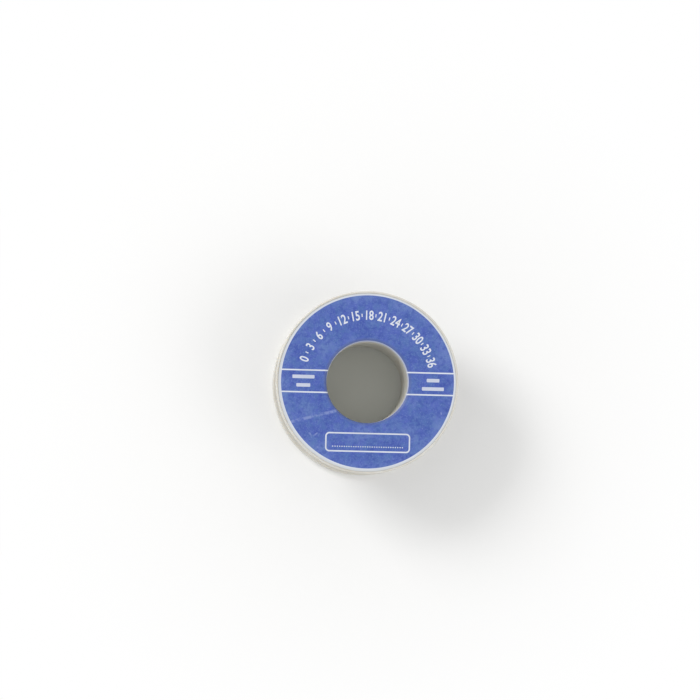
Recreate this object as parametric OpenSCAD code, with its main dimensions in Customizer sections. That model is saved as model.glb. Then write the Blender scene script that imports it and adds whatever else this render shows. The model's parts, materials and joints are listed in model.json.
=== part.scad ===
// Spool of solder wire.
// Two moulded halves snap together at the middle of the hub. The front half carries a
// printed paper label, the rear half has the holes that anchor both ends of the wire.
// The spool stands on its rear flange: the hub's axis is Z and the origin is on the axis
// at the level of the rear rim.

/* [Flanges] */
// Outside diameter of both flanges
flange_d = 63; // [60:1:75]
// Wall of the front flange under its label
front_web_t = 1.85; // [1.5:0.05:2.5]
// Wall of the rear flange over its recess
rear_web_t = 1.55; // [1.2:0.05:2.5]
// Width of the bead round the label
front_rim_w = 0.75; // [0.75:0.05:2]
// Width of the standing rim on the rear flange
rear_rim_w = 1.4; // [1.2:0.1:2]
// Rounding of the flanges' outer edges
edge_r = 0.35; // [0.2:0.05:0.5]

/* [Hub] */
// Diameter of the bore that goes over a spindle
bore_d = 28; // [24:0.5:30]
// Wall of the hub round the bore
hub_wall = 2; // [1.8:0.1:2.6]
// Width of the winding space between the flanges
winding_w = 25; // [18:1:34]
// Rounding of the bore's two mouths
mouth_r = 1.3; // [1:0.1:1.5]
// Rounding in the corner between hub and flange
root_r = 0.5; // [0.3:0.1:0.8]

/* [Snap joint] */
// Length over which the spigot lies in the socket
joint_l = 8; // [6:0.5:12]
// Height of the bead round the spigot
snap_h = 0.25; // [0.15:0.05:0.3]
// Axial width of the bead at its foot
snap_w = 1.4; // [1:0.1:2]
// Radial clearance between spigot and socket
fit_gap = 0.05; // [0.03:0.01:0.08]
// Bevel on both edges of the seam in the bore
seam_bevel = 0.2; // [0.1:0.05:0.3]

/* [Label] */
// Thickness of the paper label
label_t = 0.15; // [0.1:0.05:0.2]
// Depth of the seat that the label lies in
label_seat_depth = 0.35; // [0.3:0.05:0.6]
// Gap between the label's edge and the bead round it
label_edge_gap = 0.08; // [0.05:0.01:0.3]
// Gap between the label's turned-down inner edge and the wall of the bore
label_bore_gap = 0.02; // [0.02:0.02:0.4]

/* [Solder wire] */
// Diameter of the wire
wire_d = 1; // [0.8:0.1:1.2]
// Height of bare flange above the winding
bare_flange = 4.8; // [4.4:0.1:8]
// Gap between two turns of the outer layer
turn_gap = 0.45; // [0.42:0.01:0.7]
// Length of wire lying in the rear recess beyond each hole
tail_l = 12; // [6:1:18]
// Direction of the hole for the wire's last end
tail_angle = 70; // [60:5:75]
// Direction of the hole for the wire's first end
first_end_angle = 215; // [200:5:240]

/* [Hidden] */
$fn = 96;
over = 0.2;             // how far a cutting shape reaches past the face that it cuts
glue_t = 0.03;          // glue under the label
seat_gap = 0.03;        // gap between the outer layer and the layers that it lies on
winding_gap = 0.05;     // gap between the winding and the plastic round it
standing_gap = 0.15;    // height of the lying wire ends above the ground
recess_gap = 0.1;       // gap between the lying wire ends and the rear web
seam_gap = 0.1;         // end play of the spigot, so that the outer shoulder seats first
flange_side_gap = 0.15; // gap between the first outer turn and the front flange
hole_rim = 0.2;         // wall left between the first hole and the ring that it lies beside
rim_inner_r = 0.15;     // rounding of the inner edges of both rims and of the recess behind them

// Turns, rings and sides of the wire's solid
rings_per_turn = 24;
wire_sides = 6;
bend_steps = 4;
ramp_in_steps = 4;
ramp_out_steps = 6;
lying_steps = 4;

// Radii of the moulded halves
flange_r = flange_d / 2;
bore_r = bore_d / 2;
hub_r = bore_r + hub_wall;
socket_r = bore_r + hub_wall / 2;
spigot_r = socket_r - fit_gap;
rear_ring_r = hub_r + rim_inner_r;
front_seat_r = flange_r - front_rim_w;
rear_recess_r = flange_r - rear_rim_w;

// Levels along the axis
wire_r = wire_d / 2;
rear_recess_depth = standing_gap + wire_d + recess_gap;
rear_inner_z = rear_recess_depth + rear_web_t;
front_inner_z = rear_inner_z + winding_w;
label_seat_z = front_inner_z + front_web_t;
spool_h = label_seat_z + label_seat_depth;
shoulder_z = rear_inner_z + (winding_w - joint_l) / 2;
spigot_end_z = shoulder_z + joint_l - seam_gap;
socket_end_z = shoulder_z + joint_l;
snap_z = shoulder_z + joint_l / 2;

// Turn of the label down over the mouth of the bore, which brings its edge to the bore's wall
label_lip_angle = asin((mouth_r - label_bore_gap) / (mouth_r + glue_t + label_t));

// Layers of the winding: each one lies in the grooves of the one below
turn_half_angle = 180 / rings_per_turn;
layer_step = wire_d * cos(30);
layer_room = (flange_r - bare_flange - wire_r) * cos(turn_half_angle)
    - seat_gap - wire_r - wire_d / 4 - hub_r - wire_r;
inner_layers = floor(layer_room / layer_step) + 1;
inner_turns = floor((winding_w - 2 * winding_gap) / (1.03 * wire_d));
core_r = hub_r + wire_r + (inner_layers - 1) * layer_step + wire_d / 4;
core_z0 = rear_inner_z + winding_gap;
core_z1 = front_inner_z - winding_gap;

// Outer layer: one helix with a way in from the layers below and a way out through the rear flange
coil_r = (core_r + wire_r + seat_gap) / cos(turn_half_angle);
coil_pitch = wire_d + turn_gap;
coil_z0 = front_inner_z - wire_r - flange_side_gap;
coil_z1 = rear_inner_z + wire_r + wire_d / 4;
coil_angle = 360 * (coil_z0 - coil_z1) / coil_pitch;
ramp_in_angle = 30;
ramp_out_angle = 40;
ramp_in_r = core_r - wire_r - wire_d / 10;
bend_r = 1.1 * wire_d;
tail_hole_r = 1.1 * wire_d;
tail_r = coil_r + 1.75 * wire_d;
lying_z = standing_gap + wire_r;
bend_angle = length_to_angle(bend_r, tail_r);
coil_start_angle = tail_angle - bend_angle - ramp_out_angle - coil_angle;

// First end of the wire, at the foot of the hub
first_hole_r = wire_d;
first_end_r = rear_ring_r + hole_rim + first_hole_r;

// ---- measures and curves ----

function length_to_angle(length, radius) = length / radius * 180 / PI;

function polar(r, angle, z) = [r * cos(angle), r * sin(angle), z];

function ease(x) = x * x * (3 - 2 * x);

function unit(v) = v / norm(v);

function path_length(p) = sum_of([for (i = [1:len(p) - 1]) norm(p[i] - p[i - 1])]);

function sum_of(list) = list * [for (item = list) 1];

// Length of wire in the tight layers under the outer one
function inner_length() = sum_of([
    for (i = [0:inner_layers - 1]) 2 * PI * (hub_r + wire_r + i * layer_step) * inner_turns
]);

// Least distance between stretches of a path that are not neighbours along it
function least_approach(p, apart) = min([
    for (i = [0:len(p) - 1 - apart])
        for (j = [i + apart:len(p) - 1]) norm(p[i] - p[j])
]);

// ---- route of the outer layer, as [radius, angle, height] from its start ----

function way_in() = let (
    straight_angle = atan(wire_d / ramp_in_r),
    rest = ramp_in_angle - straight_angle
) [
    [ramp_in_r, 0, coil_z0],
    [norm([ramp_in_r, wire_d]), straight_angle, coil_z0],
    for (i = [1:ramp_in_steps])
        let (angle = straight_angle + rest * i / ramp_in_steps)
        [
            ramp_in_r + (coil_r - ramp_in_r) * ease(i / ramp_in_steps),
            angle,
            coil_z0 - coil_pitch * angle / 360
        ]
];

function coil() = let (steps = ceil((coil_angle - ramp_in_angle) * rings_per_turn / 360)) [
    for (i = [1:steps])
        let (angle = ramp_in_angle + (coil_angle - ramp_in_angle) * i / steps)
        [coil_r, angle, coil_z0 - coil_pitch * angle / 360]
];

function way_out() = [
    for (i = [1:ramp_out_steps])
        let (part = i / ramp_out_steps)
        [coil_r + (tail_r - coil_r) * ease(part), coil_angle + ramp_out_angle * part, coil_z1]
];

// Down through the tail hole and flat again in the recess, wrapped on the radius of the hole
function tail() = let (start = coil_angle + ramp_out_angle) [
    for (i = [1:bend_steps])
        let (turn = 90 * i / bend_steps)
        [tail_r, start + bend_angle * sin(turn), coil_z1 - bend_r * (1 - cos(turn))],
    for (i = [0:bend_steps])
        let (turn = 90 * i / bend_steps)
        [tail_r, start + bend_angle * (2 - cos(turn)), lying_z + bend_r * (1 - sin(turn))],
    for (i = [1:lying_steps])
        [tail_r, start + 2 * bend_angle + length_to_angle(tail_l, tail_r) * i / lying_steps, lying_z]
];

function outer_route() = [
    for (p = concat(way_in(), coil(), way_out(), tail()))
        polar(p[0], p[1] + coil_start_angle, p[2])
];

// ---- one tube along a route ----

// Direction of the route at a point: the mean of the stretches on its two sides
function heading(p, i) = unit(
    unit(p[min(i + 1, len(p) - 1)] - p[min(i, len(p) - 2)])
    + unit(p[max(i, 1)] - p[max(i - 1, 0)])
);

// One ring of the tube, turned so that its first corner points away from the Z axis
function tube_ring(p, i, radius, sides) = let (
    along = heading(p, i),
    outward = [p[i][0], p[i][1], 0],
    up = unit(outward - (outward * along) * along),
    side = cross(along, up)
) [
    for (k = [0:sides - 1])
        let (angle = 360 * k / sides)
        p[i] + radius * (cos(angle) * up + sin(angle) * side)
];

module tube(p, radius, sides) {
    last = len(p) - 1;
    corners = [for (i = [0:last]) each tube_ring(p, i, radius, sides)];
    walls = [
        for (i = [0:last - 1])
            for (k = [0:sides - 1])
                let (a = i * sides + k, b = i * sides + (k + 1) % sides)
                each [[a, a + sides, b + sides], [a, b + sides, b]]
    ];
    start_cap = [for (k = [1:sides - 2]) [0, k, k + 1]];
    end_cap = [for (k = [1:sides - 2]) [last * sides, last * sides + k + 1, last * sides + k]];
    polyhedron(points = corners, faces = concat(walls, start_cap, end_cap));
}

// ---- profiles, drawn in the plane of radius and height ----

module wall(r0, r1, z0, z1) {
    translate([r0, z0]) square([r1 - r0, z1 - z0]);
}

// What lies between a corner and the arc that rounds it: it is taken off an outer corner, with
// the signs pointing into the wall, and added to an inner one, with the signs pointing into the
// open space
module corner(r, z, radius, sign_r, sign_z) {
    difference() {
        translate([sign_r > 0 ? r - over : r - radius, sign_z > 0 ? z - over : z - radius])
            square(radius + over);
        translate([r + sign_r * radius, z + sign_z * radius]) circle(radius);
    }
}

// Section through the snap bead, or through its groove when grown by a clearance
module snap_section(grow) {
    foot = snap_w / 2 + grow;
    polygon([
        [spigot_r - over, snap_z - foot],
        [spigot_r, snap_z - foot],
        [spigot_r + snap_h + grow, snap_z - snap_w / 6 - grow],
        [spigot_r + snap_h + grow, snap_z + grow],
        [spigot_r, snap_z + foot],
        [spigot_r - over, snap_z + foot]
    ]);
}

// Bevel on the seam in the bore: sign_z points from the edge into the wall
module seam_section(z, sign_z) {
    polygon([
        [bore_r - over, z - sign_z * over],
        [bore_r + seam_bevel + over, z - sign_z * over],
        [bore_r - over, z + sign_z * (seam_bevel + over)]
    ]);
}

module front_flange_section() {
    difference() {
        union() {
            wall(bore_r, flange_r, front_inner_z, spool_h);
            wall(bore_r, hub_r, socket_end_z, front_inner_z + over);
            wall(socket_r, hub_r, shoulder_z, socket_end_z + over);
            corner(hub_r, front_inner_z, root_r, 1, -1);
        }
        wall(bore_r - over, front_seat_r, label_seat_z, spool_h + over);
        corner(bore_r, label_seat_z, mouth_r, 1, -1);
        corner(front_seat_r, spool_h, rim_inner_r, 1, -1);
        corner(flange_r, spool_h, edge_r, -1, -1);
        corner(flange_r, front_inner_z, edge_r, -1, 1);
        snap_section(fit_gap);
        seam_section(socket_end_z, 1);
    }
}

module rear_flange_section() {
    difference() {
        union() {
            wall(bore_r, flange_r, 0, rear_inner_z);
            wall(bore_r, hub_r, rear_inner_z - over, shoulder_z);
            wall(bore_r, spigot_r, shoulder_z - over, spigot_end_z);
            corner(hub_r, rear_inner_z, root_r, 1, 1);
            snap_section(0);
        }
        rear_recess_section();
        corner(bore_r, 0, mouth_r, 1, 1);
        corner(rear_ring_r, 0, rim_inner_r, -1, 1);
        corner(rear_recess_r, 0, rim_inner_r, 1, 1);
        corner(flange_r, 0, edge_r, -1, 1);
        corner(flange_r, rear_inner_z, edge_r, -1, -1);
        seam_section(spigot_end_z, -1);
    }
}

// Recess between the rear rim and the ring round the bore, where the wire's ends lie
module rear_recess_section() {
    difference() {
        wall(rear_ring_r, rear_recess_r, -over, rear_recess_depth);
        corner(rear_ring_r, rear_recess_depth, rim_inner_r, 1, -1);
        corner(rear_recess_r, rear_recess_depth, rim_inner_r, -1, -1);
    }
}

// The label lies flat on its seat and its inner edge follows the rounded mouth of the bore
module front_label_section() {
    under = label_seat_z + glue_t;
    lip_reach = 2 * (mouth_r + glue_t + label_t);
    wall(bore_r + mouth_r, front_seat_r - label_edge_gap, under, under + label_t);
    translate([bore_r + mouth_r, label_seat_z - mouth_r]) intersection() {
        difference() {
            circle(mouth_r + glue_t + label_t);
            circle(mouth_r + glue_t);
        }
        polygon([
            [0, 0],
            [0, lip_reach],
            [-lip_reach * tan(label_lip_angle / 2), lip_reach],
            [-lip_reach * sin(label_lip_angle), lip_reach * cos(label_lip_angle)]
        ]);
    }
}

// ---- moulded halves ----

module front_flange() {
    color("#dcd8cd") rotate_extrude() front_flange_section();
}

module rear_flange() {
    color("#dcd8cd") difference() {
        rotate_extrude() rear_flange_section();
        hole_through_rear_web(tail_r, tail_angle, tail_hole_r);
        hole_through_rear_web(first_end_r, first_end_angle, first_hole_r);
    }
}

module hole_through_rear_web(r, angle, hole_r) {
    rotate(angle) translate([r, 0, rear_recess_depth - over])
        cylinder(r = hole_r, h = rear_web_t + 2 * over);
}

// ---- label ----

module front_label() {
    color("#5b72b8") rotate_extrude() front_label_section();
}

// ---- solder wire ----

// The tight layers under the outer one, with the notch where the wire climbs out of them
module solder_inner_layers() {
    root = root_r + winding_gap;
    core_in_r = hub_r + winding_gap;
    color("#c4c6c9") difference() {
        rotate_extrude() polygon([
            [core_in_r + root, core_z0],
            [core_r, core_z0],
            [core_r, core_z1],
            [core_in_r + root, core_z1],
            [core_in_r, core_z1 - root],
            [core_in_r, core_z0 + root]
        ]);
        rotate(coil_start_angle) rotate_extrude(angle = ramp_in_angle) wall(
            ramp_in_r - wire_r - seat_gap,
            core_r + over,
            coil_z0 - wire_r - coil_pitch * ramp_in_angle / 360 - seat_gap,
            core_z1 + over
        );
    }
}

// The outer layer: one unbroken wire, from the notch to the tail in the rear recess
module solder_outer_layer() {
    color("#d5d7da") tube(outer_route(), wire_r, wire_sides);
}

// The first end of the wire: out of the foot of the winding and flat in the rear recess
module solder_wire_start() {
    lying_angle = length_to_angle(tail_l, first_end_r);
    color("#d5d7da") rotate(first_end_angle) union() {
        translate([first_end_r, 0, lying_z + bend_r])
            cylinder(r = wire_r, h = core_z0 - lying_z - bend_r);
        translate([first_end_r, bend_r, lying_z + bend_r]) rotate([90, 180, 90])
            rotate_extrude(angle = 90) translate([bend_r, 0]) circle(wire_r);
        translate([0, bend_r, lying_z])
            rotate_extrude(angle = lying_angle) translate([first_end_r, 0]) circle(wire_r);
    }
}

echo(str("Least gap of the outer layer to itself, mm: ",
    least_approach(outer_route(), 2 * bend_steps + 1) - wire_d));
echo(str("Turns in the outer layer: ", coil_angle / 360));
echo(str("Inner layers and turns in each: ", inner_layers, " x ", inner_turns));
echo(str("Length of wire, m: ", (inner_length() + path_length(outer_route())) / 1000));

front_flange();
rear_flange();
front_label();
solder_inner_layers();
solder_outer_layer();
solder_wire_start();
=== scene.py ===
"""A spool of solder wire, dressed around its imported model.

Pieces are drawn in millimetres and become metres when they are finished. The hub's axis is Z, the
spool stands on its rear flange, and its label faces up.
"""
import functools
import itertools
import json
import math
import random

import bmesh
import bpy
from mathutils import Matrix, Vector


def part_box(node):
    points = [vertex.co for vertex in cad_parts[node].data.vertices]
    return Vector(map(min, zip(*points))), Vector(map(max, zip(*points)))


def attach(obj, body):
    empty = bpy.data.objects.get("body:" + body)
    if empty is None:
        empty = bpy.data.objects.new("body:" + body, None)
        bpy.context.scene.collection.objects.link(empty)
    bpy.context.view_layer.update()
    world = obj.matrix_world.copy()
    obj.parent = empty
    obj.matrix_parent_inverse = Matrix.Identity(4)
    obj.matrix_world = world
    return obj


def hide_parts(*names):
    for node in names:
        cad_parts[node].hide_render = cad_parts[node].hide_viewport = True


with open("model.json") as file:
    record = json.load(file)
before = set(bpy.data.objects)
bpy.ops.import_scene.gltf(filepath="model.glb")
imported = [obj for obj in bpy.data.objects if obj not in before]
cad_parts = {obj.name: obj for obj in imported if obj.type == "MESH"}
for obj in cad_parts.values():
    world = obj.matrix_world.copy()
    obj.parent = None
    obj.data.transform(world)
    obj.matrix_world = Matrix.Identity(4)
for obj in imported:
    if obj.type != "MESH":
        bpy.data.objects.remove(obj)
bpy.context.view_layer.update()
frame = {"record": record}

MM = 0.001
FULL_TURN = 2 * math.pi
QUARTER_TURN = math.pi / 2


# ---- sizes in millimetres, from the frame where it has them ----

def box_mm(node):
    """Lowest and highest corner of a CAD node, in millimetres."""
    low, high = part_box(node)
    return low / MM, high / MM


front_low, front_high = box_mm("front_flange")
_, rear_high = box_mm("rear_flange")
label_low, label_high = box_mm("front_label")
layers_low, layers_high = box_mm("solder_inner_layers")
winding_low, _ = box_mm("solder_outer_layer")
mounts = {mount["name"]: mount for mount in frame["record"]["mounts"]}

FLANGE_R = front_high.x
SPOOL_H = front_high.z
BORE_R = mounts["spindle_bore"]["dims"]["r_mm"]
SHOULDER_Z = front_low.z             # where the two halves of the hub meet on its outside
SPIGOT_END_Z = rear_high.z           # how far the rear half reaches into the front half

HUB_WALL = 2.0
HUB_R = BORE_R + HUB_WALL
SOCKET_R = BORE_R + HUB_WALL / 2
FIT_GAP = 0.05                       # round the spigot in its socket
SEAM_GAP = 0.1                       # between the spigot's end and the front half
SEAM_BEVEL = 0.2                     # on both edges of the seam in the bore
MOUTH_R = 1.3                        # rounding of the bore's two mouths
ROOT_R = 0.5                         # rounding of the corner between hub and flange
EDGE_R = 0.35                        # rounding of a flange's outer edges
INNER_EDGE_R = 0.15                  # rounding of the edges inside the rims
FRONT_RIM_W = 0.75
REAR_RIM_W = 1.4
REAR_RECESS_DEPTH = 1.25
WINDING_GAP = 0.05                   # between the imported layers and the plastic
REAR_INNER_Z = layers_low.z - WINDING_GAP
FRONT_INNER_Z = layers_high.z + WINDING_GAP

LABEL_T = 0.15
GLUE_T = 0.03
LABEL_R = label_high.x
LABEL_TOP_Z = label_high.z
LABEL_SEAT_Z = LABEL_TOP_Z - LABEL_T - GLUE_T
LIP_R = MOUTH_R + GLUE_T             # bend of the paper's underside over the mouth
LIP_CENTRE_Z = LABEL_SEAT_Z - MOUTH_R
LIP_ANGLE = math.acos((label_low.z - LIP_CENTRE_Z) / LIP_R)

WIRE_D = 1.0
WIRE_R = WIRE_D / 2
OUTER_LAYER_R = -winding_low.x - WIRE_R      # to the wire's middle line, in the CAD outer layer
FULL_LAYER_R = OUTER_LAYER_R - WIRE_D        # and in the last full layer of the real winding
TAIL_CLEARANCE = 1.75 * WIRE_D               # from the outer layer to the tail's hole, likewise
TAIL_R = OUTER_LAYER_R + TAIL_CLEARANCE
TAIL_ANGLE = math.radians(70)
TAIL_HOLE_R = 1.1
FIRST_HOLE_R = 1.0
FIRST_HOLE_MARGIN = 0.2              # from the recess's inner wall to the hole
FIRST_END_R = HUB_R + INNER_EDGE_R + FIRST_HOLE_MARGIN + FIRST_HOLE_R
FIRST_END_ANGLE = math.radians(215)
LYING_LENGTH = 12.0                  # of each wire end that lies in the rear recess
LYING_Z = 0.65                       # height of its middle line there
BEND_R = 1.1                         # bend of its middle line at the holes


# ---- objects and camera ----

def new_object(name, data):
    """An object of the scene, at the origin."""
    thing = bpy.data.objects.new(name, data)
    bpy.context.scene.collection.objects.link(thing)
    return thing


FRAME_PX = 700                       # side of the square picture
FLANGE_PX = 91.6                     # radius of the front flange in the picture
FLANGE_CENTRE_PX = (367.3, 382.3)    # its centre, from the picture's upper left corner
CAMERA_DISTANCE = 1000.0
CAMERA_LEAN = (-0.0685, -0.0485)     # lean of the line of sight to the spool, per unit of height
CAMERA_ROLL = math.radians(1.5)
NEAR_CLIP, FAR_CLIP = 0.01, 20.0     # metres


def make_camera():
    """Looks down on the label, from a little to the left of it and below."""
    px_per_mm = FLANGE_PX / FLANGE_R
    across = (FLANGE_CENTRE_PX[0] - FRAME_PX / 2) / px_per_mm
    upward = (FRAME_PX / 2 - FLANGE_CENTRE_PX[1]) / px_per_mm
    sight = Vector((
        CAMERA_LEAN[0] + across / CAMERA_DISTANCE,
        CAMERA_LEAN[1] + upward / CAMERA_DISTANCE,
        1,
    )).normalized()
    right = Matrix.Rotation(CAMERA_ROLL, 3, "Z") @ Vector((1, 0, 0))
    right = (right - right.dot(sight) * sight).normalized()
    up = sight.cross(right)
    label_centre = Vector((0, 0, SPOOL_H))
    place = label_centre + sight * CAMERA_DISTANCE - right * across - up * upward

    data = bpy.data.cameras.new("camera")
    data.lens = data.sensor_width * CAMERA_DISTANCE / (FRAME_PX / px_per_mm)
    data.clip_start = NEAR_CLIP
    data.clip_end = FAR_CLIP
    camera = new_object("camera", data)
    turn = Matrix((right, up, sight)).transposed().to_4x4()
    camera.matrix_world = Matrix.Translation(place * MM) @ turn
    bpy.context.scene.camera = camera


make_camera()


# ---- shader nodes, written as sums ----

MIX_FIRST, MIX_SECOND, MIX_RESULT = 6, 7, 2      # the colour sockets of a Mix node


class Value:
    """A socket that can stand in a sum; each operator adds the Math node that works it out."""

    def __init__(self, nodes, socket):
        self.nodes = nodes
        self.socket = socket

    def __add__(self, other):
        return self.nodes.maths("ADD", self, other)

    def __radd__(self, other):
        return self.nodes.maths("ADD", other, self)

    def __sub__(self, other):
        return self.nodes.maths("SUBTRACT", self, other)

    def __rsub__(self, other):
        return self.nodes.maths("SUBTRACT", other, self)

    def __mul__(self, other):
        return self.nodes.maths("MULTIPLY", self, other)

    def __rmul__(self, other):
        return self.nodes.maths("MULTIPLY", other, self)

    def __truediv__(self, other):
        return self.nodes.maths("DIVIDE", self, other)

    def __rtruediv__(self, other):
        return self.nodes.maths("DIVIDE", other, self)

    def __abs__(self):
        return self.nodes.maths("ABSOLUTE", self)

    def root(self):
        return self.nodes.maths("SQRT", self)

    def at_least(self, other):
        return self.nodes.maths("MAXIMUM", self, other)

    def at_most(self, other):
        return self.nodes.maths("MINIMUM", self, other)

    def to_and_fro(self, width):
        """Rises from 0 to the width and falls back to 0, over and over."""
        return self.nodes.maths("PINGPONG", self, width)

    def step(self, start, end):
        """0 at start and 1 at end, eased between; start may be the larger of the two."""
        rising = start < end
        settings = {"interpolation_type": "SMOOTHSTEP"}
        inputs = {
            "Value": self, "From Min": min(start, end), "From Max": max(start, end),
            "To Min": 0 if rising else 1, "To Max": 1 if rising else 0,
        }
        return self.nodes.add("ShaderNodeMapRange", settings, inputs, "Result")


def strongest(values):
    """The largest of some values, point by point."""
    return functools.reduce(Value.at_least, values)


def distance(x, y):
    """The straight distance over x to the side and y up."""
    return (x * x + y * y).root()


class Nodes:
    """The nodes of one material or of the world."""

    def __init__(self, tree):
        self.tree = tree

    def add(self, kind, settings, inputs, output):
        """Adds one node, with its settings first and then its inputs, and gives one output."""
        node = self.tree.nodes.new(kind)
        for key, value in settings.items():
            setattr(node, key, value)
        for key, value in inputs.items():
            self.feed(node.inputs[key], value)
        return Value(self, node.outputs[output])

    def feed(self, socket, value):
        """Links a value to a socket, or sets the socket to a number or colour."""
        if isinstance(value, Value):
            self.tree.links.new(value.socket, socket)
        else:
            socket.default_value = value

    def maths(self, operation, *values):
        settings = {"operation": operation}
        return self.add("ShaderNodeMath", settings, dict(enumerate(values)), "Value")

    def seen_plainly(self):
        """1 for the rays that show a background: straight, mirrored or through something clear."""
        return strongest([
            self.add("ShaderNodeLightPath", {}, {}, ray)
            for ray in ("Is Camera Ray", "Is Glossy Ray", "Is Transmission Ray")])


class Finish(Nodes):
    """A material: constants go straight to its shader, and what varies comes in through paint()."""

    def __init__(self, name, **constants):
        self.material = bpy.data.materials.new(name)
        self.material.use_nodes = True
        super().__init__(self.material.node_tree)
        self.shader = self.tree.nodes["Principled BSDF"]
        self.paint(**constants)

    def paint(self, **inputs):
        """Feeds the shader's sockets, each named with _ where its name has a space."""
        for key, value in inputs.items():
            self.feed(self.shader.inputs[key.replace("_", " ")], value)

    def place(self):
        """Where a point lies in the spool's own frame, in metres."""
        return self.add("ShaderNodeTexCoord", {}, {}, "Object")

    def place_mm(self):
        """The same as three values in millimetres."""
        place = self.place()
        return [
            self.add("ShaderNodeSeparateXYZ", {}, {"Vector": place}, axis) * (1 / MM)
            for axis in "XYZ"]

    def noise(self, size_mm, detail=2.0, roughness=0.5, stretch=(1, 1, 1), place=None):
        """Noise about 0.5, with lumps about size_mm across; a stretch under 1 draws them out."""
        if place is None:
            place = self.place()
        scaled = self.add("ShaderNodeMapping", {}, {"Vector": place, "Scale": stretch}, "Vector")
        inputs = {
            "Vector": scaled, "Scale": 1 / (size_mm * MM), "Detail": detail, "Roughness": roughness,
        }
        return self.add("ShaderNodeTexNoise", {}, inputs, "Fac")

    def mix(self, share, first, second):
        """The first colour where share is 0 and the second where it is 1."""
        inputs = {"Factor": share, MIX_FIRST: first, MIX_SECOND: second}
        return self.add("ShaderNodeMix", {"data_type": "RGBA"}, inputs, MIX_RESULT)

    def layered(self, ground, *layers):
        """A colour with others laid over it in turn; each layer is (how strongly, colour)."""
        for share, tint in layers:
            ground = self.mix(share, ground, tint)
        return ground

    def bump(self, height, depth_mm):
        """Relief that stands depth_mm higher where the height is 1 than where it is 0."""
        inputs = {"Height": height, "Distance": depth_mm * MM, "Strength": 1.0}
        return self.add("ShaderNodeBump", {}, inputs, "Normal")


def colour(red, green, blue):
    """A colour given as it shows on a screen, from 0 to 255, by the screen's standard curve."""
    shares = (red / 255, green / 255, blue / 255)
    return (*(((c + 0.055) / 1.055) ** 2.4 if c > 0.04045 else c / 12.92 for c in shares), 1.0)


# ---- finish of the plastic ----

MILKY = colour(206, 203, 194)
MILKY_PALE = colour(214, 212, 205)
MILKY_WARM = colour(199, 193, 181)
# painted shade: the flange is greyer where the winding lies behind it
PAINTED_WIRE_SHADE = colour(176, 176, 171)
PAINTED_WIRE_SHADE_R = (OUTER_LAYER_R + 1.6, OUTER_LAYER_R - 0.8)   # the painted shade of the winding sets in between these
NICKED_R = (FLANGE_R - 0.45, FLANGE_R - 0.1)                 # nicks of the edge set in here


def natural_plastic():
    """Uncoloured polypropylene: milky, a little see-through, with flow clouds, rubs and nicks, and
    painted shade where the winding lies behind it.
    """
    finish = Finish(
        "natural_polypropylene",
        IOR=1.49,
        Subsurface_Weight=0.5,
        Subsurface_Radius=(1.0, 0.9, 0.75),
        Subsurface_Scale=0.003,
    )
    x, y, _ = finish.place_mm()
    radius = distance(x, y)
    cloud = finish.noise(size_mm=14)
    flow = finish.noise(size_mm=3.5, detail=3, roughness=0.6, stretch=(1, 1, 0.25))
    grain = finish.noise(size_mm=0.3)
    rubs = finish.noise(size_mm=1.1, detail=4, roughness=0.7, stretch=(1, 0.12, 1)).step(0.62, 0.74)
    nicks = finish.noise(size_mm=0.45, detail=2, roughness=0.6).step(0.62, 0.7)
    nicks = nicks * radius.step(*NICKED_R)
    # painted shade where the winding lies behind the flange
    painted_wire_shade = radius.step(*PAINTED_WIRE_SHADE_R) * radius.step(BORE_R, HUB_R)
    finish.paint(
        Base_Color=finish.layered(
            MILKY,
            (cloud.step(0.3, 0.7), MILKY_PALE),
            (painted_wire_shade * 0.25, PAINTED_WIRE_SHADE),
            (flow.step(0.35, 0.75) * 0.35, MILKY_WARM),
            (nicks * 0.2, MILKY_WARM),
        ),
        Roughness=0.3 + flow * 0.12 + rubs * 0.2 + nicks * 0.2,
        Normal=finish.bump(grain * 0.35 + flow * 0.5 + rubs * 0.25 - nicks * 1.5, depth_mm=0.012),
    )
    return finish.material


PLASTIC = natural_plastic()


# ---- finish of the label: blue print on white paper, bare where the ink leaves it ----

INK_VIOLET = colour(74, 95, 178)
INK_GREENISH = colour(75, 106, 172)
INK_DEEP = colour(48, 72, 157)
INK_THIN = colour(112, 135, 192)
# painted shade of the ink on the lip over the bore's mouth
INK_PAINTED_SHADE = colour(82, 98, 148)
INK_WORN = colour(150, 165, 212)
PAPER = colour(219, 224, 235)
PAPER_GREY = colour(208, 213, 224)
PAPER_WORN = colour(205, 209, 213)

INK_SOFTNESS = 0.035                 # half the width over which an edge of the print fades
PRINT_R = 29.82
PRINT_HOLE_R = 14.22
PRINT_HOLE_BARENESS = 0.65           # how bare of ink the paper is inside the print's hole
PRINT_OFF = (0.13, 0.19)             # how far the print lies off the middle of its paper
PAINTED_SHADE_LIP_R = (15.5, 14.5)                # between these the ink takes a painted shade, on the lip that bends into the bore
THIN_R = (26, 30)                    # between these it grows thin
WORN_R = (PRINT_R - 0.2, LABEL_R)    # between these the paper grows worn
RULE_HALF_W = 0.24
RULES_Y = (3.74, -3.83)
RULE_ENDS = (10, 11)                 # between these distances from the middle a rule sets in
BAR_HALF_H = 0.6
BAR_CORNER_R = 0.25
BAR_BARENESS = 0.8
BARS = (                             # centre and half length of each bar between the rules
    ((-22.0, 1.45), 3.8),
    ((-22.0, -1.45), 2.4),
    ((22.7, 1.15), 2.2),
    ((22.7, -1.75), 3.8),
)
FIELD_CENTRE = (0.6, -20.7)
FIELD_HALF_SIZE = (14.4, 3.1)
FIELD_CORNER_R = 1.2
FIELD_STROKE = 0.48
DOTS_DROP = 1.5                      # how far the dotted line lies below the field's centre
DOTS_HALF_LENGTH = 12.2
DOT_STEP = 0.8
DOT_R = 0.2
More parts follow.
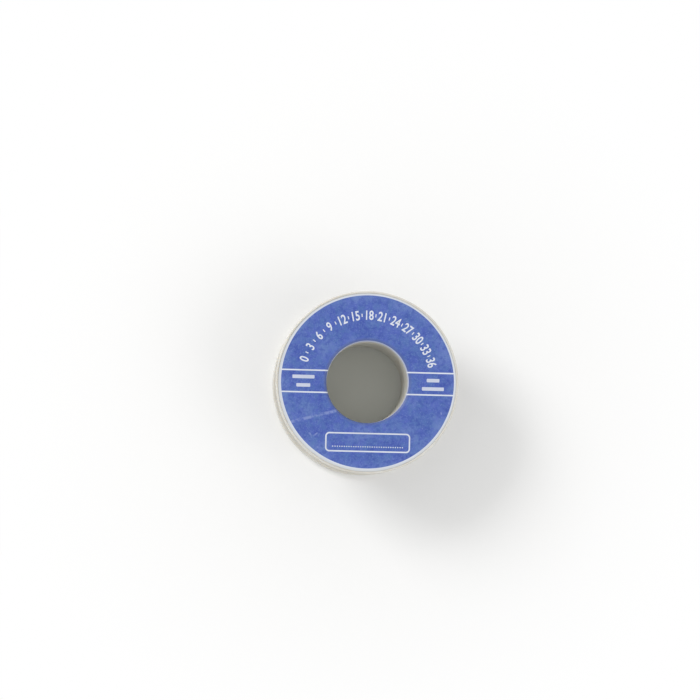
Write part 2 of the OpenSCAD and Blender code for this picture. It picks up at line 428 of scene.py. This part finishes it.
SCUFFS = (                           # both ends and half width of each
    ((-25.5, -14.1), (-10.8, -10.1), 0.8),
    ((-20.1, -17.3), (-18.5, -19.1), 0.4),
    ((-18.5, -19.1), (-16.9, -17.9), 0.4),
    ((25.8, -10.3), (25.7, -9.9), 0.4),
    ((19.1, -15.9), (19.3, -15.4), 0.35),
    ((-16.6, -22.6), (-16.3, -22.8), 0.35),
)
SCUFF_CORE = 0.15                    # share of its half width in which a scuff is at its strongest


def rounded_box(x, y, centre, half_size, corner_r):
    """How far a point lies outside a box with rounded corners; less than 0 inside it."""
    out_x = abs(x - centre[0]) - (half_size[0] - corner_r)
    out_y = abs(y - centre[1]) - (half_size[1] - corner_r)
    beyond = distance(out_x.at_least(0), out_y.at_least(0))
    return beyond + out_x.at_least(out_y).at_most(0) - corner_r


def off_stretch(x, y, start, end):
    """How far a point lies from the straight stretch between two places."""
    run_x, run_y = end[0] - start[0], end[1] - start[1]
    length_squared = run_x * run_x + run_y * run_y
    share = ((x - start[0]) * run_x + (y - start[1]) * run_y) / length_squared
    share = share.at_least(0).at_most(1)
    return distance(x - start[0] - share * run_x, y - start[1] - share * run_y)


def inside(how_far_out):
    """1 where a point is less than 0 outside a shape, with the soft edge of a print."""
    return how_far_out.step(INK_SOFTNESS, -INK_SOFTNESS)


def rules(x, y):
    """The four lines that bound the two small boxes beside the hole."""
    lines = strongest([inside(abs(y - rule_y) - RULE_HALF_W) for rule_y in RULES_Y])
    return lines * abs(x).step(*RULE_ENDS)


def bars(x, y):
    """Two plain bars in each small box."""
    return strongest([
        inside(rounded_box(x, y, centre, (half_length, BAR_HALF_H), BAR_CORNER_R))
        for centre, half_length in BARS])


def write_on_field(x, y):
    """A rounded frame with a dotted line to write on."""
    from_middle = x - FIELD_CENTRE[0]
    edge = rounded_box(x, y, FIELD_CENTRE, FIELD_HALF_SIZE, FIELD_CORNER_R)
    along = from_middle.to_and_fro(DOT_STEP / 2)
    dots = inside(distance(along, y - (FIELD_CENTRE[1] - DOTS_DROP)) - DOT_R)
    within = inside(abs(from_middle) - DOTS_HALF_LENGTH)
    return inside(abs(edge) - FIELD_STROKE / 2).at_least(dots * within)


def scuffs(x, y):
    """Where handling has worn the print: 1 along the middle of each scuff."""
    return strongest([
        off_stretch(x, y, start, end).step(half_w, half_w * SCUFF_CORE)
        for start, end, half_w in SCUFFS])


def printed_label():
    """White paper with blue print round bare rules, bars and a field to write on, and painted shade
    on the lip over the bore.
    """
    finish = Finish("printed_paper", IOR=1.45)
    x, y, _ = finish.place_mm()
    radius = distance(x - PRINT_OFF[0], y - PRINT_OFF[1])
    bare = strongest([
        inside(PRINT_R - radius),
        inside(radius - PRINT_HOLE_R) * PRINT_HOLE_BARENESS,
        rules(x, y),
        bars(x, y) * BAR_BARENESS,
        write_on_field(x, y),
    ])

    fibre = finish.noise(size_mm=0.5, detail=3, roughness=0.65)
    mottle = finish.noise(size_mm=1.4, detail=3, roughness=0.6)
    hue = finish.noise(size_mm=2.6, detail=4, roughness=0.65)
    cloud = finish.noise(size_mm=7)
    ink = finish.layered(
        INK_VIOLET,
        (hue.step(0.36, 0.64), INK_GREENISH),
        (radius.step(*THIN_R) * 0.25 + cloud.step(0.5, 0.72) * 0.35, INK_THIN),
        (mottle.step(0.44, 0.68) * 0.55 + cloud.step(0.5, 0.28) * 0.35, INK_DEEP),
        (fibre.step(0.48, 0.72) * 0.5, INK_THIN),
        # painted shade on the lip
        (radius.step(*PAINTED_SHADE_LIP_R) * 0.6, INK_PAINTED_SHADE),
        (scuffs(x, y) * mottle.step(0.36, 0.56) * 0.55, INK_WORN),
    )
    paper = finish.layered(
        PAPER,
        (cloud.step(0.3, 0.7), PAPER_GREY),
        (radius.step(*WORN_R), PAPER_WORN),
    )
    finish.paint(
        Base_Color=finish.mix(bare, ink, paper),
        Roughness=0.42 + bare * 0.16 + (fibre - 0.5) * 0.2,
        Normal=finish.bump(fibre * 0.6 + mottle * 0.4, depth_mm=0.01),
    )
    return finish.material


def bare_paper():
    """The figures: paper that the ink leaves bare."""
    finish = Finish("bare_paper", IOR=1.45)
    fibre = finish.noise(size_mm=0.3, detail=3, roughness=0.6)
    finish.paint(
        Base_Color=finish.mix(fibre.step(0.4, 0.8), PAPER, PAPER_GREY),
        Roughness=0.52 + fibre * 0.12,
    )
    return finish.material


PRINT = printed_label()
FIGURE_PAPER = bare_paper()


# ---- finish of the wire ----

TIN = colour(205, 205, 206)
TIN_DULL = colour(174, 175, 178)
TIN_DARK = colour(130, 131, 135)
ON_WIRE = "on_wire"                  # where a point lies: along the wire, and across its section


def solder_alloy():
    """Drawn tin wire: bright, with fine lines along it, duller stretches and small dents."""
    finish = Finish("solder_alloy", Metallic=1.0)
    settings = {"attribute_type": "GEOMETRY", "attribute_name": ON_WIRE}
    on_wire = finish.add("ShaderNodeAttribute", settings, {}, "Vector")
    die_lines = finish.noise(
        size_mm=0.13, detail=3, roughness=0.6, stretch=(0.012, 1, 1), place=on_wire)
    stretches = finish.noise(size_mm=3.2, stretch=(0.1, 1, 1), place=on_wire)
    dents = finish.noise(
        size_mm=0.4, detail=4, roughness=0.65, stretch=(0.16, 1, 1), place=on_wire)
    finish.paint(
        Base_Color=finish.layered(
            TIN,
            (stretches.step(0.38, 0.68), TIN_DULL),
            (die_lines.step(0.5, 0.75) * 0.3, TIN_DARK),
            (dents.step(0.56, 0.76) * 0.4, TIN_DARK),
        ),
        Roughness=0.2 + stretches * 0.16 + dents * 0.14,
        Normal=finish.bump(die_lines * 0.6 + dents * 0.4, depth_mm=0.02),
    )
    return finish.material


SOLDER = solder_alloy()


# ---- making pieces ----

SPIN_STEPS = 240                     # facets round a turned piece
ROUNDING_STEPS = 8                   # facets of a rounded edge
PEG_STEPS = 48
SHARP_ANGLE = math.radians(32)
MERGE = 1e-4                         # points closer than this are one point


def add_piece(name, mesh, material, slot, *nodes):
    """Finishes a piece: metres, smooth but for its sharp edges, in its place and on its body."""
    mesh.transform(Matrix.Scale(MM, 4))
    mesh.shade_smooth()
    mesh.set_sharp_from_angle(angle=SHARP_ANGLE)
    mesh.materials.clear()
    mesh.materials.append(material)
    piece = new_object(name, mesh)
    if nodes:
        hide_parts(*nodes)
    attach(piece, "root")


def to_mesh(name, bm):
    """Ends a bmesh as a mesh whose faces point outwards."""
    bmesh.ops.remove_doubles(bm, verts=bm.verts[:], dist=MERGE)
    bmesh.ops.dissolve_degenerate(bm, edges=bm.edges[:], dist=MERGE)
    bmesh.ops.recalc_face_normals(bm, faces=bm.faces[:])
    mesh = bpy.data.meshes.new(name)
    bm.to_mesh(mesh)
    bm.free()
    return mesh


def final_mesh(thing):
    """The mesh that an object shows, with its modifiers; the object itself is removed."""
    bpy.context.view_layer.update()
    graph = bpy.context.evaluated_depsgraph_get()
    mesh = bpy.data.meshes.new_from_object(thing.evaluated_get(graph))
    bpy.data.objects.remove(thing)
    return mesh


def spin_section(bm):
    """Turns the section that a bmesh holds, in the plane of X and Z, once round the Z axis."""
    bmesh.ops.spin(
        bm, geom=bm.verts[:] + bm.edges[:], cent=(0, 0, 0), axis=(0, 0, 1),
        angle=FULL_TURN, steps=SPIN_STEPS, use_merge=True)


def turned(corners):
    """A ring turned from a closed section; each corner is (radius, height, rounding)."""
    bm = bmesh.new()
    outline = [bm.verts.new((r, 0, z)) for r, z, _ in corners]
    bm.faces.new(outline)
    for corner, (_, _, rounding) in zip(outline, corners):
        if rounding:
            bmesh.ops.bevel(
                bm, geom=[corner], offset=rounding, offset_type="OFFSET",
                segments=ROUNDING_STEPS, profile=0.5, affect="VERTICES", material=-1)
    bmesh.ops.delete(bm, geom=bm.faces[:], context="FACES_ONLY")
    spin_section(bm)
    return bm


def polar(r, angle, z):
    """The point at a radius, an angle round the hub's axis and a height."""
    return Vector((r * math.cos(angle), r * math.sin(angle), z))


def even_shares(steps, first=1):
    """The shares of a whole after each of some even steps, up to 1; first=0 adds its start."""
    return [i / steps for i in range(first, steps + 1)]


def peg(place, r, top_z):
    """A round cutter that stands on a place and ends at a level."""
    bm = bmesh.new()
    bmesh.ops.create_cone(
        bm, cap_ends=True, segments=PEG_STEPS, radius1=r, radius2=r, depth=top_z - place.z)
    bmesh.ops.translate(bm, vec=(place.x, place.y, (place.z + top_z) / 2), verts=bm.verts[:])
    return to_mesh("peg", bm)


def cut_by(mesh, cutters):
    """The mesh less all the cutters."""
    body = new_object("body_to_cut", mesh)
    tools = [new_object("cutter", cutter) for cutter in cutters]
    for tool in tools:
        modifier = body.modifiers.new("cut", "BOOLEAN")
        modifier.operation = "DIFFERENCE"
        modifier.solver = "EXACT"
        modifier.object = tool
    result = final_mesh(body)
    for tool in tools:
        bpy.data.objects.remove(tool)
    return result


# ---- moulded halves ----

PART_LINE_H = 0.05                   # half the width of the fine groove where the mould parts
PART_LINE_DEPTH = 0.03


def flange_edge(low_z, high_z):
    """Corners of a flange's rounded edge from its top down, with its mould's parting line."""
    middle = (low_z + high_z) / 2
    return [
        (FLANGE_R, high_z, EDGE_R),
        (FLANGE_R, middle + PART_LINE_H, 0),
        (FLANGE_R - PART_LINE_DEPTH, middle, 0),
        (FLANGE_R, middle - PART_LINE_H, 0),
        (FLANGE_R, low_z, EDGE_R),
    ]


def front_flange():
    """Front half: the flange with the seat of its label, and the hub's socket."""
    seat_r = FLANGE_R - FRONT_RIM_W
    socket_end = SPIGOT_END_Z + SEAM_GAP
    corners = [
        (BORE_R, socket_end + SEAM_BEVEL, 0),
        (BORE_R, LABEL_SEAT_Z, MOUTH_R),
        (seat_r, LABEL_SEAT_Z, 0),
        (seat_r, SPOOL_H, INNER_EDGE_R),
        *flange_edge(FRONT_INNER_Z, SPOOL_H),
        (HUB_R, FRONT_INNER_Z, ROOT_R),
        (HUB_R, SHOULDER_Z, 0),
        (SOCKET_R, SHOULDER_Z, 0),
        (SOCKET_R, socket_end, 0),
        (BORE_R + SEAM_BEVEL, socket_end, 0),
    ]
    mesh = to_mesh("front_flange", turned(corners))
    add_piece("front_flange_moulding", mesh, PLASTIC, "natural_plastic", "front_flange")


EJECTOR_MARK_R = 2.0
EJECTOR_MARK_DEPTH = 0.08
EJECTOR_MARKS_R = 23.0               # how far from the axis they lie
EJECTOR_ANGLES = [math.radians(a) for a in (20, 140, 260)]


def rear_flange():
    """Rear half: the standing rim, the recess with both wire holes, and the hub's spigot."""
    ring_r = HUB_R + INNER_EDGE_R
    recess_r = FLANGE_R - REAR_RIM_W
    corners = [
        (BORE_R, 0, MOUTH_R),
        (BORE_R, SPIGOT_END_Z - SEAM_BEVEL, 0),
        (BORE_R + SEAM_BEVEL, SPIGOT_END_Z, 0),
        (SOCKET_R - FIT_GAP, SPIGOT_END_Z, 0),
        (SOCKET_R - FIT_GAP, SHOULDER_Z, 0),
        (HUB_R, SHOULDER_Z, 0),
        (HUB_R, REAR_INNER_Z, ROOT_R),
        *flange_edge(0, REAR_INNER_Z),
        (recess_r, 0, INNER_EDGE_R),
        (recess_r, REAR_RECESS_DEPTH, INNER_EDGE_R),
        (ring_r, REAR_RECESS_DEPTH, INNER_EDGE_R),
        (ring_r, 0, INNER_EDGE_R),
    ]
    below, above = REAR_RECESS_DEPTH - WIRE_R, REAR_INNER_Z + WIRE_R
    holes = [
        peg(polar(TAIL_R, TAIL_ANGLE, below), TAIL_HOLE_R, above),
        peg(polar(FIRST_END_R, FIRST_END_ANGLE, below), FIRST_HOLE_R, above),
    ]
    mark_top = REAR_RECESS_DEPTH + EJECTOR_MARK_DEPTH
    marks = [
        peg(polar(EJECTOR_MARKS_R, angle, below), EJECTOR_MARK_R, mark_top)
        for angle in EJECTOR_ANGLES]
    mesh = cut_by(to_mesh("rear_flange", turned(corners)), holes + marks)
    add_piece("rear_flange_moulding", mesh, PLASTIC, "natural_plastic", "rear_flange")


# ---- label ----

LIP_STEPS = 12
PAPER_RINGS = (30.2, 28.0, 25.0, 22.0, 19.0, 17.0)   # where the flat of the paper is divided


def front_label():
    """A ring of paper whose inner edge is pressed down over the mouth of the bore."""
    flat = [(r, LABEL_SEAT_Z + GLUE_T) for r in (LABEL_R, *PAPER_RINGS)]
    turns = [LIP_ANGLE * share for share in even_shares(LIP_STEPS, first=0)]
    lip_centre_r = BORE_R + MOUTH_R
    lip = [
        (lip_centre_r - LIP_R * math.sin(turn), LIP_CENTRE_Z + LIP_R * math.cos(turn))
        for turn in turns]
    bm = bmesh.new()
    points = [bm.verts.new((r, 0, z)) for r, z in flat + lip]
    for ends in itertools.pairwise(points):
        bm.edges.new(ends)
    spin_section(bm)
    bmesh.ops.remove_doubles(bm, verts=bm.verts[:], dist=MERGE)
    bmesh.ops.recalc_face_normals(bm, faces=bm.faces[:])
    if max(bm.faces, key=lambda face: face.calc_area()).normal.z < 0:
        bmesh.ops.reverse_faces(bm, faces=bm.faces[:])
    bmesh.ops.solidify(bm, geom=bm.faces[:], thickness=-LABEL_T)
    add_piece("label", to_mesh("label", bm), PRINT, "label_paper", "front_label")


FIGURES = range(0, 37, 3)            # metres of wire
FIGURES_FROM = math.radians(161)     # where the first one stands
FIGURES_TO = math.radians(18.5)      # and the last
FIGURE_FOOT_R = 21.5
FIGURE_H = 3.3
FIGURE_NARROWING = 0.74
FIGURE_T = 0.02
FIGURE_SINK = 0.005                  # how far the figures reach into the paper
FIGURE_WEIGHT = 0.018                # how far their strokes are thickened
FIGURE_STEPS = 6                     # parts of each curve of an outline
TICK_SIZE = (0.34, 1.1)              # across and along


def figure(text):
    """A number as a thin plate that stands on the X axis."""
    data = bpy.data.curves.new("figure", "FONT")
    data.body = text
    data.align_x = "CENTER"
    data.extrude = FIGURE_T / 2
    data.offset = FIGURE_WEIGHT
    data.resolution_u = FIGURE_STEPS
    mesh = final_mesh(new_object("figure", data))
    foot = min(vertex.co.y for vertex in mesh.vertices)
    tall = FIGURE_H / (max(vertex.co.y for vertex in mesh.vertices) - foot)
    stretch = Matrix.Diagonal((tall * FIGURE_NARROWING, tall, 1, 1))
    mesh.transform(stretch @ Matrix.Translation((0, -foot, 0)))
    return mesh


def turn_to_figure(count):
    """Turns what stands on the label's Y axis to a figure; a half more is the tick after it."""
    step = (FIGURES_TO - FIGURES_FROM) / (len(FIGURES) - 1)
    return Matrix.Rotation(FIGURES_FROM + step * count - QUARTER_TURN, 4, "Z")


def label_figures():
    """Plain figures round the upper half of the label, and a tick between each two."""
    bm = bmesh.new()
    level = LABEL_TOP_Z + FIGURE_T / 2 - FIGURE_SINK
    foot_place = Matrix.Translation((0, FIGURE_FOOT_R, level))
    for i, number in enumerate(FIGURES):
        mesh = figure(str(number))
        mesh.transform(turn_to_figure(i) @ foot_place)
        bm.from_mesh(mesh)
        bpy.data.meshes.remove(mesh)
    tick_place = Matrix.Translation((0, FIGURE_FOOT_R + FIGURE_H / 2, level))
    tick_shape = tick_place @ Matrix.Diagonal((*TICK_SIZE, FIGURE_T, 1))
    for i in range(len(FIGURES) - 1):
        bmesh.ops.create_cube(bm, size=1, matrix=turn_to_figure(i + 0.5) @ tick_shape)
    add_piece("label_figures", to_mesh("label_figures", bm), FIGURE_PAPER, "label_paper")


# ---- solder wire: how it is wound ----

RINGS_PER_TURN = 72
LEAD_TURNS = 2                       # turns of the layer below, which shows where it ends
LAYER_TURNS = 24
PART_LAYER_TURNS = 18                # turns of the last layer, which ends short of the rear flange
FLANGE_GAP = 0.06                    # between a flange and the turn beside it
TURN_STEP = (FRONT_INNER_Z - REAR_INNER_Z - WIRE_D - 2 * FLANGE_GAP) / (LAYER_TURNS - 1)
NEST_STEP = math.sqrt(WIRE_D ** 2 - (TURN_STEP / 2) ** 2)    # from a layer to one in its grooves
FOOT_Z = REAR_INNER_Z + WIRE_R + FLANGE_GAP                  # first turn of the last full layer
TOP_Z = FRONT_INNER_Z - WIRE_R - FLANGE_GAP                  # and its last turn
STEP_OVER = 0.16                     # share of a turn in which the wire steps to its next groove
FOOT_DROP = 2 / 3                    # share of that in which it comes down to the rear flange
GAP_SPREAD = 0.018                   # how far a turn of the part layer may lie off its groove
WINDING_SEED = 11
SWAY_WAVES = (                       # height, waves a turn, phase, and how it shifts to the front
    (0.07, 2, 0.4, 0),
    (0.04, 5, 1.9, 3),
)
SLACK_WAVES = (                      # the same, of how unevenly the wire is pulled in
    (0.02, 2.7, 1.3, 0),
    (0.012, 6.3, 0, 0),
)
CROSSING_R = FULL_LAYER_R + WIRE_D   # where the wire crosses the grooves of the full layer
CROSSING_TURN = math.radians(95)     # how far round it crosses them on its way out
LIFT_TURN = math.acos(CROSSING_R / TAIL_R)
LIFT_ANGLE = TAIL_ANGLE - LIFT_TURN  # where it then leaves the winding, straight for its hole
START_ANGLE = LIFT_ANGLE - CROSSING_TURN     # where each layer starts and ends


def ease(share):
    """From 0 to 1, slow at both ends."""
    share = min(max(share, 0), 1)
    return share * share * (3 - 2 * share)


def glide(share, soft=0.3):
    """From 0 to 1 at an even rate, but for a soft share of the way at each end."""
    if share < soft:
        return share * share / (2 * soft * (1 - soft))
    if share > 1 - soft:
        return 1 - glide(1 - share, soft)
    return (share - soft / 2) / (1 - soft)


def grooves_passed(turns, layer):
    """How many grooves a layer has passed; each layer steps over just before the one under it."""
    turns += layer * STEP_OVER
    return math.floor(turns) + ease((turns % 1 - 1) / STEP_OVER + 1)


def lower_z(turns):
    """Height in the layer under the last full one, which comes down to the rear flange."""
    return FOOT_Z - (grooves_passed(turns, 0) + 0.5) * TURN_STEP


def full_z(turns):
    """Height in the last full layer, which goes up to the front flange."""
    return FOOT_Z + grooves_passed(turns, 1) * TURN_STEP


def over(apart):
    """How much further out a wire lies than the one it rests on, so far apart along the hub."""
    return math.sqrt(max(WIRE_D ** 2 - apart ** 2, 0))


def over_grooves(z, layer_z):
    """The same on a whole layer that has a wire at one height and at every step from there."""
    apart = (z - layer_z) % TURN_STEP
    return over(min(apart, TURN_STEP - apart))


def full_r(turns):
    """Radius in the last full layer, which rides over the crests of the layer under it."""
    return FULL_LAYER_R - NEST_STEP + over_grooves(full_z(turns), lower_z(turns))


def ripple(waves, angle, share=0):
    """The sum of some waves at an angle round the spool and a share of the way to its front."""
    return sum(
        height * math.sin(count * angle + phase + shift * share)
        for height, count, phase, shift in waves)


def sway(angle, z):
    """A slight waviness that neighbouring turns share, and that the flanges hold straight."""
    share = (z - REAR_INNER_Z) / (FRONT_INNER_Z - REAR_INNER_Z)
    return ripple(SWAY_WAVES, angle, share) * math.sin(math.pi * min(max(share, 0), 1))


def on_winding(turns, shifts):
    """Radius and height of the wire, in turns from where it starts the last full layer."""
    top_climb = LAYER_TURNS - 2 * STEP_OVER
    if turns < -STEP_OVER:               # still in the layer below
        return FULL_LAYER_R - NEST_STEP, lower_z(turns)
    if turns < 0:                        # beside the rear flange, up over its own last turn
        climbed = 1 + turns / STEP_OVER
        z = FOOT_Z + (1 - ease(climbed / FOOT_DROP)) * TURN_STEP / 2
        return FULL_LAYER_R - NEST_STEP + over(z - lower_z(turns - 1)), z
    if turns < top_climb:                # in the full layer
        return full_r(turns), full_z(turns)
    if turns < top_climb + STEP_OVER:    # beside the front flange, up over its own last turn
        z = TOP_Z - ease((turns - top_climb) / STEP_OVER) * TURN_STEP / 2
        return full_r(turns) + over(z - full_z(turns - 1)), z
    passed = grooves_passed(turns - LAYER_TURNS, 2)      # and in the part layer
    groove = math.floor(passed)
    shift = shifts[groove] + (shifts[groove + 1] - shifts[groove]) * (passed - groove)
    z = TOP_Z - (passed + 0.5) * TURN_STEP + shift
    return full_r(turns) + over_grooves(z, full_z(turns)), z


def wound_layers():
    """The end of one layer, the last full layer, and the part layer back down over it."""
    random.seed(WINDING_SEED)
    shifts = [0] + [random.uniform(-GAP_SPREAD, GAP_SPREAD) for _ in range(PART_LAYER_TURNS + 1)]
    points = []
    first_ring = -LEAD_TURNS * RINGS_PER_TURN
    last_ring = (LAYER_TURNS + PART_LAYER_TURNS) * RINGS_PER_TURN
    for ring in range(first_ring, last_ring + 1):
        turns = ring / RINGS_PER_TURN
        angle = START_ANGLE + FULL_TURN * turns
        r, z = on_winding(turns, shifts)
        points.append(polar(r + ripple(SLACK_WAVES, angle), angle, z + sway(angle, z)))
    return points


# ---- solder wire: both its ends ----

CROSSING_RISE = 0.25                 # share of the way out in which it climbs from its last groove
CROSSING_Z = REAR_INNER_Z + WIRE_R + WIRE_D / 4      # its height at the hole, just off the flange
CROSSING_RINGS = 26
BEND_RINGS = 8
LYING_RINGS = 12
LYING_SPRING = 0.4                   # how far a lying end springs in towards the hub
WIRE_SIDES = 16
NIP_REACH = 0.6 * WIRE_D             # how far round its end the wire is nipped
NIP_FLATNESS = 0.3                   # how much of its thickness is left there


def way_out(start, hole):
    """From the last turn across the layer below, straight to the hole, and down into it."""
    heading = Vector((-math.sin(LIFT_ANGLE), math.cos(LIFT_ANGLE), 0))
    crossing = CROSSING_R * CROSSING_TURN
    reach = TAIL_R * math.sin(LIFT_TURN) - BEND_R
    points = []
    for share in even_shares(CROSSING_RINGS):
        run = share * (crossing + reach)
        z = start.z + (CROSSING_Z - start.z) * glide(share)
        r = start.xy.length + (CROSSING_R - start.xy.length) * ease(share / CROSSING_RISE)
        if run < crossing:
            points.append(polar(r, START_ANGLE + run / CROSSING_R, z))
        else:
            points.append(polar(CROSSING_R, LIFT_ANGLE, z) + heading * (run - crossing))
    for share in even_shares(BEND_RINGS):
        turn = QUARTER_TURN * share
        z = CROSSING_Z - BEND_R * (1 - math.cos(turn))
        points.append(hole + heading * BEND_R * (math.sin(turn) - 1) + Vector((0, 0, z)))
    return points


def lying_end(hole):
    """Out of the hole from above, and flat in the recess round the hub."""
    along = Vector((-hole.y, hole.x, 0)).normalized()
    points = []
    for share in even_shares(BEND_RINGS, first=0):
        turn = QUARTER_TURN * share
        z = LYING_Z + BEND_R * (1 - math.sin(turn))
        points.append(hole + along * BEND_R * (1 - math.cos(turn)) + Vector((0, 0, z)))
    radius = hole.xy.length
    first = math.atan2(points[-1].y, points[-1].x)
    for share in even_shares(LYING_RINGS):
        r = radius - LYING_SPRING * share * share
        points.append(polar(r, first + LYING_LENGTH / radius * share, LYING_Z))
    return points


def wire(name, points):
    """Round wire along the points; each of its vertices keeps where on the wire it lies."""
    data = bpy.data.curves.new(name, "CURVE")
    data.dimensions = "3D"
    data.bevel_depth = WIRE_R
    data.bevel_resolution = WIRE_SIDES // 2 - 2      # a resolution of n gives 2 n + 4 sides
    data.use_fill_caps = True
    spline = data.splines.new("POLY")
    spline.points.add(len(points) - 1)
    for target, point in zip(spline.points, points):
        target.co = (*point, 1)
    mesh = final_mesh(new_object(name, data))
    bm = bmesh.new()
    bm.from_mesh(mesh)
    bmesh.ops.remove_doubles(bm, verts=bm.verts[:], dist=MERGE)
    bm.to_mesh(mesh)
    bm.free()
    note_place_on_wire(mesh, points)
    nip(mesh, points[-1])
    return mesh


def note_place_on_wire(mesh, points):
    """Turns the map that the curve gives, by rings and round them, into an attribute in metres."""
    steps = [0] + [(b - a).length for a, b in itertools.pairwise(points)]
    run = list(itertools.accumulate(steps))
    ring_share = mesh.uv_layers[0].data
    place = mesh.attributes.new(ON_WIRE, "FLOAT_VECTOR", "POINT")
    for face in mesh.polygons:
        spots = [ring_share[corner].uv.copy() for corner in face.loop_indices]
        is_cap = len({spot.y for spot in spots}) == 1
        if is_cap:
            continue
        for vertex, spot in zip(face.vertices, spots):
            around = polar(WIRE_R, FULL_TURN * spot.y, 0)
            along = run[round(spot.x * (len(points) - 1))]
            place.data[vertex].vector = Vector((along, around.x, around.y)) * MM
    mesh.uv_layers.remove(mesh.uv_layers[0])


def nip(mesh, end):
    """Flattens the last ring of a wire that lies level, as cutters leave it."""
    for vertex in mesh.vertices:
        if (vertex.co - end).length < NIP_REACH:
            vertex.co.z = end.z + (vertex.co.z - end.z) * NIP_FLATNESS


def wound_wire():
    """The wire that shows: its last layers, its way out and its last end, all in one."""
    hole = polar(TAIL_R, TAIL_ANGLE, 0)
    points = wound_layers()
    points += way_out(points[-1], hole)
    points += lying_end(hole)
    return wire("wound_wire", points)


def first_end():
    """The wire's first end, out of the foot of the winding and into the recess."""
    hole = polar(FIRST_END_R, FIRST_END_ANGLE, 0)
    inside_z = REAR_INNER_Z + WINDING_GAP + WIRE_R
    points = [hole + Vector((0, 0, z)) for z in (inside_z, REAR_INNER_Z, REAR_INNER_Z - WIRE_R)]
    return wire("first_end", points + lying_end(hole))


def packed_layers():
    """The layers that nothing shows of, as a ring with room at its foot for the last lead turn."""
    low, high = REAR_INNER_Z + WINDING_GAP, FRONT_INNER_Z - WINDING_GAP
    inner, outer = HUB_R + WINDING_GAP, FULL_LAYER_R - WIRE_R / 2
    root = ROOT_R + WINDING_GAP
    open_z = FOOT_Z + TURN_STEP
    corners = [
        (inner, low + root, 0),
        (inner + root, low, 0),
        (outer - NEST_STEP, low, 0),
        (outer - NEST_STEP, open_z, 0),
        (outer, open_z + NEST_STEP, 0),
        (outer, high, 0),
        (inner + root, high, 0),
        (inner, high - root, 0),
    ]
    return to_mesh("packed_layers", turned(corners))


def solder():
    """The winding and both ends of the wire."""
    slot = "solder_alloy"
    add_piece("solder_packed_layers", packed_layers(), SOLDER, slot, "solder_inner_layers")
    add_piece("solder_wound_wire", wound_wire(), SOLDER, slot, "solder_outer_layer")
    add_piece("solder_first_end", first_end(), SOLDER, slot, "solder_wire_start")


# ---- floor and light ----

TABLE = colour(249, 249, 248)
# painted shade: the table is darker at the foot of the bore
TABLE_PAINTED_SHADE_IN_BORE = colour(215, 218, 214)
TABLE_PAINTED_SHADE_R = (BORE_R + 1, BORE_R)       # between these the table's painted shade in the bore sets in
FLOOR_HALF_SIZE = 6.0                # metres
WHITE_R = (50, 140)                  # between these the table turns plain white in the picture
SKY_LEVEL = 0.68
LAMPS = (                            # name, place and side in metres, and watts
    ("key", (-1.15, 0.85, 1.0), 0.7, 14),
    ("fill", (1.1, -0.5, 0.9), 1.0, 4),
)


def floor():
    """A pale table that takes the spool's shadow, with painted shade where it lies in the bore, and
    is plain white in the picture further out.
    """
    finish = Finish("pale_table", Roughness=0.75)
    x, y, _ = finish.place_mm()
    radius = distance(x, y)
    # painted shade in the bore
    finish.paint(Base_Color=finish.mix(radius.step(*TABLE_PAINTED_SHADE_R), TABLE, TABLE_PAINTED_SHADE_IN_BORE))
    inputs = {                       # the share of the second surface, and both surfaces
        0: radius.step(*WHITE_R) * finish.seen_plainly(),
        1: Value(finish, finish.shader.outputs["BSDF"]),
        2: finish.add("ShaderNodeEmission", {}, {}, "Emission"),
    }
    surface = finish.add("ShaderNodeMixShader", {}, inputs, "Shader")
    finish.feed(finish.tree.nodes["Material Output"].inputs["Surface"], surface)
    bm = bmesh.new()
    bmesh.ops.create_grid(bm, x_segments=1, y_segments=1, size=FLOOR_HALF_SIZE)
    mesh = to_mesh("floor", bm)
    mesh.materials.append(finish.material)
    new_object("floor", mesh)


def sky():
    """Even light from all round, which shows as plain white."""
    world = bpy.data.worlds.new("studio")
    world.use_nodes = True
    nodes = Nodes(world.node_tree)
    background = nodes.tree.nodes["Background"]
    nodes.feed(background.inputs["Color"], (1, 1, 1, 1))
    nodes.feed(background.inputs["Strength"], SKY_LEVEL + (1 - SKY_LEVEL) * nodes.seen_plainly())
    bpy.context.scene.world = world


def lamp(name, place, side, watts):
    """A soft square lamp that faces the spool."""
    data = bpy.data.lights.new(name, "AREA")
    data.size = side
    data.energy = watts
    light = new_object(name, data)
    light.location = place
    light.rotation_euler = (-Vector(place)).to_track_quat("-Z", "Y").to_euler()
    light.visible_camera = False


front_flange()
rear_flange()
front_label()
label_figures()
solder()
floor()
sky()
for facts in LAMPS:
    lamp(*facts)
bpy.context.scene.view_settings.view_transform = "Standard"
